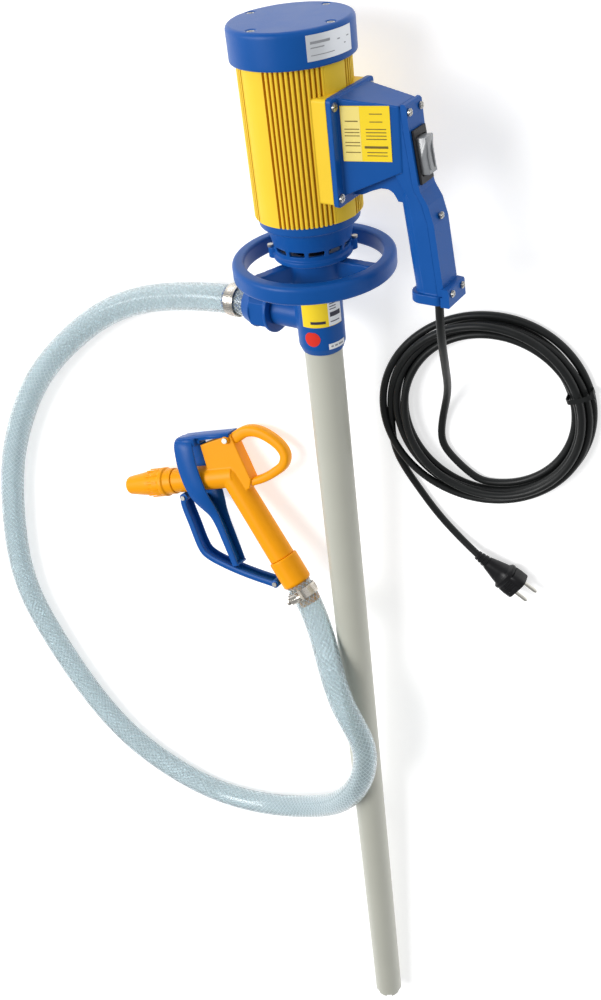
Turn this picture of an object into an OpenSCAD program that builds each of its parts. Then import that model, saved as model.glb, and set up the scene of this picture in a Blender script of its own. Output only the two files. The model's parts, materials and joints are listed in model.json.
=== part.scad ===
// Drum barrel pump: electric drive, immersion tube set, hose, hand nozzle and mains lead.
// Millimetres, +Z up. The pump lies on its handwheel rim and its foot.

/* [Pump tube] */
// outside diameter of the immersion tube
tube_d = 41; // [32:1:56]
// immersion length, from under the head to the foot
tube_len = 1200; // [700:10:1200]
// wall of the immersion tube
tube_wall = 4; // [2.5:0.5:5]

/* [Motor] */
// diameter over the ribs of the motor body
motor_d = 108; // [90:1:130]
// outside diameter of the motor cap
cap_d = 119; // [100:1:140]
// height of the motor cap
cap_h = 33; // [20:1:50]
// depth of the grooves between the ribs
rib_depth = 3; // [1:0.5:5]

/* [Handwheel] */
// outside diameter of the handwheel
wheel_d = 168; // [120:2:220]
// height of the handwheel rim
wheel_h = 19; // [12:1:30]

/* [Hose] */
// outside diameter of the delivery hose
hose_d = 32; // [20:1:40]
// outside diameter of the mains lead
cord_d = 8.6; // [6:0.2:12]

/* [Hidden] */
$fn = 64;
tr = tube_d / 2;
mr = motor_d / 2;
cr = cap_d / 2;
wr = wheel_d / 2;
hr = hose_d / 2;
head_z = -107;
foot_z = head_z - tube_len;
touch = [wr - 3, -wheel_h + 3];
reach = touch[1] - (foot_z + 5);
tilt = atan((touch[0] - tr) / reach) + asin(3 / reach);
lift = tr * cos(tilt) - (foot_z + 5) * sin(tilt);
ox = 763.9;
oy = 80;
wheel_x = 1302.5;
z_hand = 258;
z_out = 78;
noz_y = 158;
noz_z = 26;
noz_roll = 13;

module pump() {
  translate([wheel_x - ox, -oy, lift]) rotate([0, 90 - tilt, 0]) children();
}
module on_hand() { pump() rotate([0, 0, z_hand]) children(); }
module on_outlet() { pump() rotate([0, 0, z_out]) translate([0, 0, -71]) rotate([0, 90, 0]) children(); }
module lay(x, y, z, a) { translate([x - ox, y - oy, z]) rotate([0, 0, a]) children(); }
module nozzle() { lay(980, noz_y, noz_z, 103.7) rotate([noz_roll, 0, 0]) children(); }
module ring(ro, ri, z0, z1) {
  translate([0, 0, z0]) difference() {
    cylinder(r = ro, h = z1 - z0);
    translate([0, 0, -1]) cylinder(r = ri, h = z1 - z0 + 2);
  }
}
module slab(x0, x1, y, z0, z1) {
  translate([x0, -y, z0]) cube([x1 - x0, 2 * y, z1 - z0]);
}
module xrod(r, x0, x1, y, z) {
  translate([x0, y, z]) rotate([0, 90, 0]) cylinder(r = r, h = x1 - x0);
}
function fillet(cx, cy, r, a0, a1, n) =
  [for (i = [0:n]) let (a = a0 + (a1 - a0) * i / n) [cx + r * cos(a), cy + r * sin(a)]];

// ---------- motor ----------
module motor_section() {
  polygon([for (q = [0:3]) each concat(
    [for (a = [-14:4:14]) [mr * cos(q * 90 + a), mr * sin(q * 90 + a)]],
    [for (i = [0:11]) let (c = q * 90 + 16.5 + i * 5.1) each
      [for (p = [[-1.9, -rib_depth], [-0.7, -rib_depth], [0.1, -0.4], [0.9, 0], [2.1, 0], [2.9, -0.4]])
        [(mr + p[1]) * cos(c + p[0]), (mr + p[1]) * sin(c + p[0])]]])]);
}
module motor_housing() color([0.93, 0.74, 0.09]) pump() difference() {
  union() {
    translate([0, 0, 46.6]) rotate([0, 0, 245]) linear_extrude(146.8) motor_section();
    rotate([0, 0, z_hand]) translate([0, 0, 118]) rotate([0, 90, 0])
      linear_extrude(54) polygon(concat(fillet(46, 34, 3, 0, 90, 4), fillet(-46, 34, 3, 90, 180, 4),
        fillet(-46, -34, 3, 180, 270, 4), fillet(46, -34, 3, 270, 360, 4)));
  }
  translate([0, 0, 40]) cylinder(r = 46, h = 160);
  rotate([0, 0, z_hand]) {
    xrod(9, 40, 60, 0, 118);
    for (y = [-33, 33], z = [76, 160]) xrod(2, 47, 60, y, z);
  }
}
module motor_cap() color([0.11, 0.25, 0.58]) pump() difference() {
  rotate_extrude() polygon(concat([[0, 193.6], [cr - 0.8, 193.6], [cr, 194.6]],
    fillet(cr - 4.5, 193.6 + cap_h - 4.5, 4.5, 0, 78, 6), [[0, 193.6 + cap_h]]));
  translate([0, 0, 190]) cylinder(r = cr - 4, h = cap_h - 0.5);
  for (a = [158, 248, 338, 68]) rotate([0, 0, a]) translate([50, 0, 193.6 + cap_h - 3]) cylinder(r = 4.3,
      h = 6);
  for (a = [158, 248, 338, 68]) rotate([0, 0, a]) translate([50, 0, 200]) cylinder(r = 2, h = 30);
}
module cap_screws() color([0.7, 0.7, 0.7]) pump() for (a = [158, 248, 338, 68]) rotate([0, 0, a])
  translate([50, 0, 0]) difference() {
    union() {
      translate([0, 0, 193.6 + cap_h - 3]) cylinder(r = 3.6, h = 2.2);
      translate([0, 0, 212]) cylinder(r = 2, h = 193.6 + cap_h - 3 - 212);
    }
    translate([-3, -0.5, 193.6 + cap_h - 1.8]) cube([6, 1, 2]);
    translate([-0.5, -3, 193.6 + cap_h - 1.8]) cube([1, 6, 2]);
  }
module rating_plate() color([0.8, 0.81, 0.82]) pump() rotate([0, 0, 214]) intersection() {
  ring(cr + 0.45, cr + 0.01, 200, 222);
  rotate([0, 0, 0]) translate([0, 0, 199]) linear_extrude(30)
    polygon([[0, 0], [90, 0], [90 * cos(25), 90 * sin(25)], [90 * cos(49), 90 * sin(49)]]);
}
module end_bell() color([0.11, 0.25, 0.58]) pump() difference() {
  union() {
    rotate_extrude() polygon([[20, -20], [25.5, -20], [25.5, 0], [39.5, 0], [40.5, 1], [40.5, 5], [38.6,
        6.5],
      [38.6, 10], [43.5, 33], [44.5, 35.5], [49, 36.5], [50.5, 38], [50.5, 45], [49.5, 46.5], [45.7,
          46.5],
      [45.7, 52], [41, 52], [41, 42], [11, 42], [11, 34], [35, 34], [35, 9], [20, 5]]);
    for (a = [112, 292]) rotate([0, 0, a]) translate([39, 0, 0.5]) cylinder(r = 6, h = 11);
  }
  for (a = [27, 57, 87, 147, 177, 207, 237, 267, 327, 357]) rotate([0, 0, a]) translate([33, -8, 11])
    cube([12, 16, 5.4]);
  for (a = [112, 292]) rotate([0, 0, a]) translate([42.6, 0, 4]) cylinder(r = 1.7, h = 12);
}
module bell_screws() color([0.7, 0.7, 0.7]) pump() for (a = [112, 292]) rotate([0, 0, a])
    translate([42.6, 0, 0]) {
  translate([0, 0, 11.5]) cylinder(r = 3.1, h = 2.4);
  translate([0, 0, 4.5]) cylinder(r = 1.7, h = 7);
}
module bearings() color([0.6, 0.6, 0.62]) pump() {
  ring(11, 5.06, 34.5, 41.5);
  ring(11, 5.06, 180, 187);
}
module upper_bracket() color([0.15, 0.15, 0.16]) pump() difference() {
  union() {
    ring(45.7, 11, 180, 186);
    ring(16, 11, 186, 190);
  }
  for (a = [0:60:300]) rotate([0, 0, a]) translate([30, 0, 175]) cylinder(r = 8, h = 20);
}
module stator_core() color([0.35, 0.36, 0.38]) pump() ring(45.7, 25.3, 84, 146);
module field_coils() color([0.65, 0.3, 0.12]) pump() {
  ring(42, 28, 70, 84);
  ring(42, 28, 146, 160);
}
module armature_core() color([0.4, 0.4, 0.42]) pump() difference() {
  ring(24.6, 5, 86, 144);
  for (a = [0:30:330]) rotate([0, 0, a]) translate([20, -1.2, 80]) cube([8, 2.4, 70]);
}
module armature_winding() color([0.7, 0.33, 0.13]) pump() {
  ring(21, 6.5, 76, 86);
  ring(21, 6.5, 144, 154);
}
module commutator() color([0.72, 0.42, 0.2]) pump() difference() {
  ring(14, 5, 158, 174);
  for (a = [0:30:330]) rotate([0, 0, a]) translate([12.8, -0.4, 161]) cube([4, 0.8, 20]);
}
module motor_shaft() color([0.75, 0.75, 0.77]) pump() translate([0, 0, 3]) cylinder(r = 5, h = 188);
module cooling_fan() color([0.12, 0.12, 0.13]) pump() {
  ring(11, 5, 14, 28);
  difference() {
    ring(33, 10.9, 25, 27.5);
    translate([0, 0, 20]) cylinder(r = 10.9, h = 10);
  }
  for (a = [0:40:320]) rotate([0, 0, a]) translate([10.9, -1, 15]) rotate([0, 0, 12]) cube([21, 2, 10]);
}
module brush_holders() color([0.7, 0.55, 0.25]) pump() for (a = [0, 180]) rotate([0, 0, a]) difference() {
  union() {
    xrod(5.5, 16, 40, 0, 167);
    translate([30, -5, 167]) cube([10, 10, 13]);
  }
  xrod(3.6, 15, 38, 0, 167);
}
module carbon_brushes() color([0.1, 0.1, 0.1]) pump() for (a = [0, 180]) rotate([0, 0, a]) difference() {
  xrod(3.5, 10, 28, 0, 167);
  translate([0, 0, 150]) cylinder(r = 14.06, h = 30);
}
// ---------- handle ----------
module flange_gasket() color([0.08, 0.08, 0.09]) on_hand() difference() {
  slab(54, 55, 36.4, 69.2, 166.8);
  xrod(9, 50, 60, 0, 118);
  for (y = [-33, 33], z = [76, 160]) xrod(2.3, 50, 60, y, z);
}
module box_shape(g) {
  hull() {
    slab(54 + g, 62, 28 - g, 77 + g, 166 - g);
    slab(115 - g, 116 - g, 15.5 - g, 100 + g, 159.5 - g);
  }
}
module grip_shape(g) {
  translate([121.5, 0, 74]) rotate([0, 172.95 , 0]) cylinder(r = 13.8 - g, h = 94 - 2 * g);
  translate([0, 14.4 - g, 0]) rotate([90, 0, 0]) linear_extrude(28.8 - 2 * g)
    polygon([[121, 74], [100, 110], [100, 150 - g], [117, 158 - g], [119, 137], [125.5, 90], [127, 84],
        [134, 72],
      [139.5, 53], [146.5, -9 + g], [147.5, -19 + g], [133, -19 + g]]);
}
module arch_shape(g) {
  translate([0, 11 - g, 0]) rotate([90, 0, 0]) linear_extrude(22 - 2 * g)
    polygon([[60, 71.5 + g], [70, 72.5 + g], [80, 77 + g], [90, 80.5 + g], [98, 80.5 + g], [103, 78 + g],
      [108, 70 + g], [120, 70 + g], [120, 120], [60, 120]]);
}
module handle_body() color([0.11, 0.25, 0.58]) on_hand() difference() {
  union() {
    difference() {
      translate([55, 0, 118]) rotate([0, 90, 0]) linear_extrude(5.5)
        polygon(concat(fillet(46.5, 34.5, 4, 0, 90, 5), fillet(-46.5, 34.5, 4, 90, 180, 5),
          fillet(-46.5, -34.5, 4, 180, 270, 5), fillet(46.5, -34.5, 4, 270, 360, 5)));
      for (y = [-33, 33], z = [76, 160]) xrod(2.3, 50, 70, y, z);
    }
    intersection() {
      box_shape(0);
      slab(55, 130, 40, 60, 180);
    }
    arch_shape(0);
    grip_shape(0);
    foot_flange();
  }
  intersection() {
    box_shape(3);
    slab(50, 113, 40, 60, 180);
  }
  grip_shape(3);
  translate([141, 0, -40]) cylinder(r = cord_d / 2 + 0.15, h = 40);
  translate([0, 20, 0]) rotate([90, 0, 0]) linear_extrude(40)
    polygon([[126.9, 84], [133.85, 72], [139.35, 53], [144, 53], [144, 84]]);
  for (y = [-10.5, 10.5]) {
    xrod(1.7, 104, 126, y, 153.5);
    xrod(1.7, 135, 160, y, -14);
  }
}
module foot_flange() {
  translate([0, 0, -27]) linear_extrude(10) polygon(concat(fillet(145, 11, 6, 0, 90, 5),
    fillet(128, 5, 12, 90, 180, 5), fillet(128, -5, 12, 180, 270, 5), fillet(145, -11, 6, 270, 360, 5)));
}
module grip_cover() color([0.11, 0.25, 0.58]) on_hand() difference() {
  union() {
    translate([0, 14.6, 0]) rotate([90, 0, 0]) linear_extrude(29.2)
      polygon([[117, 158], [117.2, 160], [119, 161], [121.5, 160.5], [123, 159], [125, 137], [131.5, 90],
        [133.5, 83], [140.8, 71], [146, 53], [153.3, -9], [154.2, -17], [147.3, -17], [146.5, -9],
            [139.5, 53],
        [134, 72], [127, 84], [125.5, 90], [119, 137]]);
    translate([0, 17, 0]) rotate([90, 0, 0]) linear_extrude(34)
      polygon([[152.5, -8.2], [159, -8.6], [160, -10], [161, -26], [160, -27], [151.2, -27], [151.2,
          -17], [153.6, -17]]);
  }
  translate([128.2, 0, 113]) rotate([0, -8, 0]) cube([30, 19, 40], center = true);
  for (y = [-10.5, 10.5]) {
    xrod(1.9, 110, 130, y, 153.5);
    xrod(1.9, 140, 170, y, -14);
  }
  xrod(1.9, 130, 160, 0, 58);
}
module pan_screw(x, y, z, r, l) {
  difference() {
    union() {
      xrod(r, x, x + 1.2, y, z);
      xrod(r * 0.78, x + 1.2, x + 2, y, z);
      xrod(r * 0.48, x - l, x, y, z);
    }
    translate([x + 0.9, y - r, z - 0.4]) cube([2, 2 * r, 0.8]);
    translate([x + 0.9, y - 0.4, z - r]) cube([2, 0.8, 2 * r]);
  }
}
module flange_screws() color([0.72, 0.72, 0.72]) on_hand()
  for (y = [-33, 33], z = [76, 160]) pan_screw(60.5, y, z, 4.1, 13);
module cover_screws() color([0.72, 0.72, 0.72]) on_hand() {
  for (y = [-10.5, 10.5]) {
    pan_screw(123.95, y, 153.5, 3.4, 12);
    pan_screw(160.65, y, -14, 3.4, 14);
  }
  pan_screw(146.2, 0, 58, 3.4, 5);
}
module warning_label() color([0.95, 0.78, 0.1]) on_hand()
  translate([63.2, -27.74, 110]) rotate([0, 0, 13.1]) translate([0, -0.6, 0]) cube([46, 0.5, 50]);
module switch_bezel() color([0.06, 0.06, 0.07]) on_hand() translate([128.6, 0, 113]) rotate([0, -8,
    0]) difference() {
  union() {
    translate([-0.2, -11.6, -24.5]) cube([2.6, 23.2, 49]);
    translate([-12, -9.3, -19.8]) cube([14, 18.6, 39.6]);
  }
  translate([-10, -8.4, -17.6]) cube([20, 16.8, 35.2]);
}
module switch_rocker() color([0.55, 0.56, 0.57]) on_hand() translate([128.6, 0, 113]) rotate([0, -8,
    0]) difference() {
  union() {
    translate([0, 7.5, 0]) rotate([90, 0, 0]) linear_extrude(15)
      polygon([[-4, -10], [3, -17], [7.6, -17], [6.4, 0], [8.6, 17], [3, 17], [-4, 10]]);
    translate([0, 8.3, 0]) rotate([90, 0, 0]) cylinder(r = 2, h = 16.6);
  }
  translate([5.2, -5.5, -14]) cube([8, 3.6, 28]);
}
module terminal_block() color([0.85, 0.85, 0.8]) on_hand() difference() {
  slab(70, 86, 9, 100, 136);
  for (z = [106, 118, 130]) xrod(2, 80, 90, 0, z);
}
// ---------- handwheel and pump head ----------
module handwheel() color([0.11, 0.25, 0.58]) pump() union() {
  rotate_extrude() polygon(concat([[71, -wheel_h + 2], [73, -wheel_h]], fillet(wr - 3, -wheel_h + 3, 3,
      270, 360, 4),
    fillet(wr - 4.5, -4.5, 4.5, 0, 90, 5), fillet(73, -2, 2, 90, 180, 3)));
  rotate_extrude() polygon([[25.08, -30], [29.5, -30], [30.5, -29], [30.5, -3], [29.5, -2], [25.58, -2],
      [25.58, -10],
    [28.4, -10], [28.4, -27], [25.08, -27]]);
  for (a = [22, 142, 262]) rotate([0, 0, a]) translate([0, 6, 0]) rotate([90, 0, 0]) linear_extrude(12)
    polygon([[29.8, -3.5], [72, -5.5], [72, -17], [29.8, -22]]);
}
module upper_coupling() color([0.3, 0.3, 0.32]) pump() {
  ring(10.5, 5, 3, 9);
  difference() {
    translate([0, 0, -12]) cylinder(r = 10.5, h = 15);
    translate([0, 0, -13]) cylinder(r = 4, h = 4);
  }
  for (a = [0:120:240]) rotate([0, 0, a]) translate([7.2, 0, -17]) cylinder(r = 1.8, h = 5);
}
module lower_coupling() color([0.3, 0.3, 0.32]) pump() difference() {
  ring(10.5, 5, -28, -12.6);
  for (a = [0:120:240]) rotate([0, 0, a]) translate([7.2, 0, -19]) cylinder(r = 2, h = 8);
}
module pump_head() color([0.11, 0.25, 0.58]) pump() difference() {
  union() {
    rotate_extrude() polygon([[0, head_z], [22, head_z], [25, head_z + 8], [25, -26.7], [28, -26.7], [28,
        -20], [0, -20]]);
    rotate([0, 0, z_out]) xrod(17.6, 18, 52, 0, -71);
    rotate([0, 0, z_out]) xrod(16.2, 51, 62, 0, -71);
  }
  translate([0, 0, head_z - 1]) cylinder(r = tr - 0.6, h = 13);
  translate([0, 0, -96]) cylinder(r = 17, h = 52);
  translate([0, 0, -45]) cylinder(r = 9, h = 6);
  translate([0, 0, -40]) cylinder(r = 14, h = 10);
  translate([0, 0, -31]) cylinder(r = 12, h = 20);
  rotate([0, 0, z_out]) xrod(11, 5, 70, 0, -71);
}
module shaft_seal() color([0.1, 0.1, 0.1]) pump() ring(14, 5.06, -40, -31.5);
module pump_tube() color([0.72, 0.72, 0.68]) pump() {
  ring(tr, tr - tube_wall, foot_z + 26, head_z - 0.1);
  ring(tr - 0.6, tr - tube_wall, head_z - 0.2, head_z + 12);
}
module inner_tube() color([0.75, 0.75, 0.72]) pump() ring(9, 7, foot_z + 90, -40.5);
module guide_bushes() color([0.9, 0.88, 0.8]) pump() {
  for (z = [-200, -450, -700, -950, foot_z + 92]) ring(7, 5.06, z, z + 14);
}
module tube_spacers() color([0.8, 0.8, 0.76]) pump() for (z = [-330, -620, -910, foot_z + 96]) {
  ring(11, 9, z, z + 12);
  for (a = [0:120:240]) rotate([0, 0, a]) slab(10.9, tr - tube_wall, 1, z, z + 12);
}
module pump_shaft() color([0.78, 0.78, 0.8]) pump() translate([0, 0, foot_z + 24]) cylinder(r = 5,
    h = -14 - foot_z - 24);
module impeller() color([0.85, 0.83, 0.75]) pump() {
  ring(9, 5, foot_z + 30, foot_z + 58);
  for (a = [0:90:270]) rotate([0, 0, a]) translate([8.8, 0, foot_z + 44]) rotate([32, 0, 0])
    translate([0, -1.2, -12]) cube([5.4, 2.4, 24]);
}
module inlet_foot() color([0.72, 0.72, 0.68]) pump() difference() {
  rotate_extrude() polygon([[tr - tube_wall, foot_z + 26], [tr, foot_z + 26], [tr, foot_z + 5],
      [tr - 2.5, foot_z],
    [tr - tube_wall, foot_z]]);
  for (a = [0:60:120]) rotate([0, 0, a + 20]) translate([-30, -4, foot_z - 1]) cube([60, 8, 9]);
}
module sticker(z0, z1, a, w) intersection() {
  ring(25.4, 25.01, z0, z1);
  rotate([0, 0, a]) linear_extrude(240, center = true)
    polygon([[0, 0], [60, 0], [60 * cos(w / 2), 60 * sin(w / 2)], [60 * cos(w), 60 * sin(w)]]);
}
module head_labels() color([0.93, 0.75, 0.1]) pump() {
  sticker(-78, -34, 156, 105);
  sticker(-99, -92.5, 216, 50);
}
module round_sticker() color([0.85, 0.13, 0.08]) pump() intersection() {
  ring(25.3, 25.01, -96, -78.2);
  rotate([0, 0, 178]) xrod(8.4, 15, 40, 0, -86);
}
module union_nut() color([0.11, 0.25, 0.58]) on_outlet() difference() {
  union() {
    translate([0, 0, 52.3]) cylinder(r = 26.5, h = 3.7);
    translate([0, 0, 56]) cylinder(r = 26, h = 20, $fn = 6);
    translate([0, 0, 76]) cylinder(r1 = 24.5, r2 = 19, h = 13);
  }
  translate([0, 0, 50]) cylinder(r = 16.28, h = 14);
  translate([0, 0, 60]) cylinder(r = 15.5, h = 8);
  translate([0, 0, 60]) cylinder(r = 13.1, h = 40);
}
module outlet_tail() color([0.12, 0.27, 0.6]) on_outlet() difference() {
  union() {
    translate([0, 0, 64.2]) cylinder(r = 15.2, h = 3.5);
    translate([0, 0, 67.7]) cylinder(r = 12.7, h = 52);
  }
  translate([0, 0, 60]) cylinder(r = 9.5, h = 70);
}
module band(z, a) {
  ring(hr + 1.5, hr + 0.3, z - 5.5, z + 5.5);
  rotate([0, 0, a]) translate([hr + 1.3, -7, z - 6]) cube([6.5, 14, 12]);
  rotate([0, 0, a]) translate([hr + 4.5, 7, z]) rotate([-90, 0, 0]) cylinder(r = 3.4, h = 4, $fn = 6);
}

// ---------- hose and lead ----------
function unit(v) = v / norm(v);
function tangent(p, i) = unit(p[min(i + 1, len(p) - 1)] - p[max(i - 1, 0)]);
module swept(p, r, s) {
  n = len(p);
  polyhedron(points = [for (i = [0:n - 1]) let (t = tangent(p, i), u = unit(cross(t, [0.13, 0.21, 1])),
      v = cross(t, u))
      for (k = [0:s - 1]) p[i] + r * cos(360 * k / s) * u + r * sin(360 * k / s) * v],
    faces = concat([[for (k = [s - 1:-1:0]) k]], [[for (k = [0:s - 1]) (n - 1) * s + k]],
      [for (i = [0:n - 2], k = [0:s - 1]) let (m = (k + 1) % s)
        each [[i * s + k, i * s + m, (i + 1) * s + m], [i * s + k, (i + 1) * s + m, (i + 1) * s + k]]]));
}
module loose(p, r, s) translate([-ox, -oy, 0]) swept(p, r, s);
co = cos(tilt);
so = sin(tilt);
// a point on the outlet's axis, b from the pump's axis
function out_at(b) = [wheel_x - 71 * co + b * so * 0.208, b * 0.978, lift - 71 * so - b * 0.208 * co];
// a point on the grip's lead outlet, c below the wheel's plane
function lead_at(c) = [wheel_x - c * co - 141 * so * 0.208, -141 * 0.978,
    lift - c * so + 141 * 0.208 * co];
hose_way = concat([out_at(89.3), out_at(105), out_at(125)], [[1227, 160, 45.5], [1219, 205, 33],
  [1205, 258, 22.5], [1180, 312, 17.5], [1140, 367, 16.4], [1086, 423, 16.4], [1020, 466, 16.4],
  [953, 497, 16.4], [887, 515, 16.4], [820, 527, 16.4], [760, 532, 16.4], [703, 526, 16.4],
  [640, 506, 16.4], [569, 477, 16.4], [505, 443, 16.4], [450, 400, 16.4], [412, 350, 16.4],
  [386, 300, 16.4], [373, 252, 16.5], [372, 208, 17.5], [381, 163, 21.5], [400, 120, 29.5],
  [426, 84, 42.5], [456, 53, 58.5], [490, 27, 74], [526, 4, 85], [562, -11, 90.5], [592, -18, 92.5],
  [620, -20, 94], [647, -15, 97], [671, -5, 100.5], [694, 3.5, 102], [715, 10.2, 101.5],
  [734, 15.4, 98.8], [752, 19.9, 94.3], [769, 24.9, 89.6], [785, 30.4, 83.1], [800, 36.4, 76.6],
  [815, 42.9, 70]]);
module hose() color([0.7, 0.8, 0.85]) loose(concat(hose_way, [noz_at(188), noz_at(173), noz_at(159)]),
    hr, 12);
// a point on the nozzle handle's axis, s from its elbow
function noz_at(s) = let (x = -0.3584 * s, y = 0.9336 * s, c = cos(103.7), d = sin(103.7),
    e = y * cos(noz_roll))
  [980 + x * c - e * d, noz_y + x * d + e * c, noz_z + y * sin(noz_roll)];
module cord_lead() color([0.06, 0.06, 0.06]) loose(concat([lead_at(14), lead_at(29.5), lead_at(45)],
  [[1241, -137.6, 109], [1227, -137, 104], [1213, -135.8, 96.5], [1200, -134.2, 87], [1186, -132, 75.5],
  [1170, -129, 61.5], [1153, -126, 46.5], [1136, -122.5, 32.5], [1119, -118.5, 20.5], [1101, -113.5, 11.5],
  [1082, -108, 6.2], [1064, -102.5, 4.7], [1043, -96, 4.7]]), cord_d / 2, 8);
module cord_coil() color([0.06, 0.06, 0.06]) translate([1095 - ox, -164 - oy, 0]) rotate_extrude()
  polygon([[88, 5], [91, 0.5], [117, 0.5], [120, 5], [120, 14], [114, 19.5], [94, 19.5], [88, 14]]);
module cord_tail() color([0.06, 0.06, 0.06]) loose([[1064, -46, 6], [1036, -51, 4.8], [1008, -62, 4.6],
  [984, -77, 4.6], [960, -93, 4.8], [940, -109, 5.5], [922, -127, 7], [908, -144, 9], [901.5, -153,
      10.5]], cord_d / 2, 8);
module coil_tie() color([0.04, 0.04, 0.04]) lay(1095, -164, 0, -70) translate([104, 0, 0]) difference() {
  translate([-17.5, -2.5, 0.2]) cube([35, 5, 20.6]);
  translate([-16.2, -5, 0.5]) cube([32.4, 10, 19.2]);
}
module plug() lay(900, -155, 13.5, 233) children();
module plug_body() color([0.05, 0.05, 0.05]) plug() union() {
  translate([-2, 0, 0]) rotate([0, 90, 0]) cylinder(r1 = 6, r2 = 10.5, h = 38);
  translate([35, 0, 0]) scale([1, 1.32, 0.98]) rotate([0, 90, 0]) cylinder(r = 13.4, h = 5);
  translate([40, 0, 0]) scale([1, 1.25, 0.9]) rotate([0, 90, 0]) cylinder(r = 13, h = 18);
}
module plug_pins() color([0.75, 0.75, 0.72]) plug() for (y = [-9.5, 9.5]) {
  translate([58, y, 0]) rotate([0, 90, 0]) cylinder(r = 2.4, h = 17);
  translate([75, y, 0]) rotate([0, 90, 0]) cylinder(r1 = 2.4, r2 = 1.5, h = 2);
}

// ---------- hand nozzle: x along the spout, y down the handle ----------
module zcyl(x, y, r, z0, z1) { translate([x, y, z0]) cylinder(r = r, h = z1 - z0); }
module plate(t, pts) { translate([0, 0, -t]) linear_extrude(2 * t) polygon(pts); }
module along() { rotate([0, 0, 111]) rotate([0, 90, 0]) children(); }
module nozzle_body() color([0.95, 0.6, 0.05]) nozzle() difference() {
  union() {
    rotate([0, 90, 0]) translate([0, 0, -6]) cylinder(r = 15.5, h = 90);
    plate(10, [[30, -45], [-16, -54], [-30, 6], [-26, 16], [-12, 24], [8, -8], [28, -10]]);
    sphere(r = 15.5);
    along() cylinder(r1 = 15.6, r2 = 16.4, h = 121);
  }
  rotate([0, 90, 0]) translate([0, 0, 10]) cylinder(r = 11, h = 100);
  along() translate([0, 0, 12]) cylinder(r = 11, h = 130);
  zcyl(-9, -48, 2.3, -20, 20);
  zcyl(70, 15.5, 1.6, -20, 20);
}
module nozzle_hook() color([0.95, 0.6, 0.05]) nozzle() plate(7.5, concat([[-16.4, -54], [-34, -61]],
    [[-52, -57], [-70, -46],
  [-82, -32], [-85, -20], [-80, -8], [-66, 3], [-44, 13], [-31, 13], [-31.8, 9], [-30.3, 6], [-28, -3.5],
      [-44, 0],
  [-58, -7], [-66, -16], [-66, -26], [-58, -36], [-46, -44], [-34, -48], [-18.2, -46]]));
module spout_tip() color([0.95, 0.6, 0.05]) nozzle() difference() {
  rotate([0, 90, 0]) rotate_extrude() polygon([[10, 84], [16.8, 84], [16.8, 96], [18.8, 97], [18.8, 102],
      [17.8, 103], [17.8, 112],
    [16.2, 117], [15.6, 126], [12.3, 151], [11.5, 155], [10, 157], [8, 157], [8, 100], [10, 96]]);
}
module nozzle_connector() color([0.95, 0.58, 0.05]) nozzle() along() difference() {
  rotate_extrude() polygon([[13, 121.2], [18, 121.2], [18.8, 122.5], [18.8, 156], [17.5, 158.5], [13,
      158.5]]);
  translate([0, 0, 150]) cylinder(r = 14, h = 20);
}
module nozzle_tail() color([0.9, 0.55, 0.05]) nozzle() along() difference() {
  union() {
    translate([0, 0, 121.2]) cylinder(r = 12.9, h = 40);
    translate([0, 0, 161.2]) cylinder(r = 12.7, h = 27);
  }
  translate([0, 0, 110]) cylinder(r = 9.5, h = 100);
}
module hose_clamps() color([0.7, 0.68, 0.64]) {
  on_outlet() band(108, 250);
  nozzle() along() band(172, 185);
}
module pivot_pin() color([0.75, 0.75, 0.75]) nozzle() {
  zcyl(-9, -48, 2.2, -13.5, 13.5);
  zcyl(-9, -48, 3.6, 13.6, 15.2);
  zcyl(-9, -48, 3.6, -15.2, -13.6);
}
module lever() color([0.1, 0.26, 0.62]) nozzle() difference() {
  union() {
    for (s = [-1, 1]) {
      translate([0, 0, s > 0 ? 10.6 : -13.4]) linear_extrude(2.8)
        polygon([[-15, -56.5], [-15, -43], [-6, -41], [24, -44], [36, -38], [62, -38], [62, -46], [56,
            -54], [40, -56.5]]);
      hull() {
        translate([36, -46, s > 0 ? 10.6 : -13.4]) cube([26, 8, 2.8]);
        translate([33, -19, s > 0 ? 16 : -18.8]) cube([29, 4, 2.8]);
      }
      translate([0, 0, s > 0 ? 16 : -18.8]) linear_extrude(2.8)
        polygon([[33, -18], [62, -18], [58, 8], [50, 24], [33, 24], [31, 6]]);
      hull() {
        translate([33, 20, s > 0 ? 16 : -18.8]) cube([18, 4, 2.8]);
        translate([28, 42, s > 0 ? 8.6 : -11.4]) cube([12, 4, 2.8]);
      }
      translate([0, 0, s > 0 ? 8.6 : -11.4]) linear_extrude(2.8)
        polygon([[28, 42], [40, 42], [38, 80], [34.5, 117], [27.5, 117], [28, 80]]);
    }
    translate([0, 0, -11]) linear_extrude(22) polygon([[-15, -56.5], [40, -56.5], [56, -54], [62, -46],
        [62, -42],
      [59.5, -42], [59.5, -46], [54, -51.8], [40, -54.1], [-15, -54.1]]);
    translate([0, 0, -9]) linear_extrude(18) polygon([[40, 42], [38, 80], [34.5, 117], [32, 117], [35.5,
        80], [37.5, 42]]);
  }
  zcyl(-9, -48, 2.26, -20, 20);
}
module trigger_guard() color([0.1, 0.26, 0.62]) nozzle() plate(10, [[64, 15.9], [74, 15.9], [80, 22],
    [82, 96], [76, 106], [60, 117],
  [36, 128], [6, 139], [-22, 148], [-33, 150], [-34.1, 142.6], [-24, 140.5], [4, 131.5], [33, 121], [56,
      110.5],
  [70, 101], [74, 93], [72.5, 25], [64, 22]]);
module guard_screws() color([0.75, 0.75, 0.75]) nozzle() for (z = [10.1, -11.9], p = [[74, 21], [-29,
    145]])
  translate([p[0], p[1], z]) cylinder(r = 3, h = 1.8);
module valve_stem() color([0.8, 0.8, 0.82]) nozzle() {
  xrod(2.5, 34, 76, 0, 0);
  xrod(10.4, 54, 59, 0, 0);
}

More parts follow.
